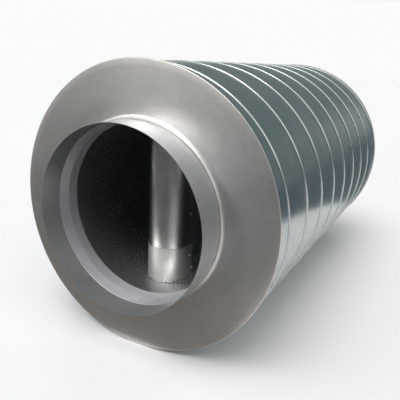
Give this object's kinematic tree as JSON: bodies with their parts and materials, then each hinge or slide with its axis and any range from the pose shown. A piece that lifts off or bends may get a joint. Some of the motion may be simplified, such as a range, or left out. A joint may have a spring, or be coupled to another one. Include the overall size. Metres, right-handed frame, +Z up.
{
  "type": "duct sound attenuator",
  "caption": "Round duct silencer with a spiral-seam casing, flat end caps, connection spigots, a perforated lined bore and a round-nosed splitter baffle.",
  "frame": {"origin": "centre of the attenuator, on the duct axis", "axes": "+Y along the duct axis away from the front mouth, +X to the right seen from the front, +Z up along the baffle"},
  "size_m": [0.64, 1.2, 0.64],
  "materials": {
    "casing_steel": "galvanised, semi-gloss",
    "cap_steel": "galvanised, satin",
    "bright_steel": "galvanised, bright",
    "liner_steel": "galvanised, satin",
    "rivet_steel": "zinc plated",
    "fleece": "glass fleece, matt black",
    "mineral_wool": "fibrous, matt"
  },
  "bodies": {
    "root": {"outer_casing": "casing_steel", "front_end_cap": "cap_steel", "rear_end_cap": "cap_steel", "front_spigot": "cap_steel", "rear_spigot": "cap_steel", "front_inner_ring": "bright_steel", "rear_inner_ring": "bright_steel", "perforated_liner": "liner_steel", "liner_fleece": "fleece", "wool_jacket": "mineral_wool", "front_nose": "bright_steel", "rear_nose": "bright_steel", "front_nose_foot": "bright_steel", "rear_nose_foot": "bright_steel", "baffle_left_panel": "liner_steel", "baffle_right_panel": "liner_steel", "baffle_top_rail": "liner_steel", "baffle_bottom_rail": "liner_steel", "baffle_wool": "mineral_wool", "baffle_left_fleece": "fleece", "baffle_right_fleece": "fleece", "left_panel_rivets": "rivet_steel", "right_panel_rivets": "rivet_steel", "front_nose_rivets": "rivet_steel", "rear_nose_rivets": "rivet_steel"}
  },
  "joints": []
}
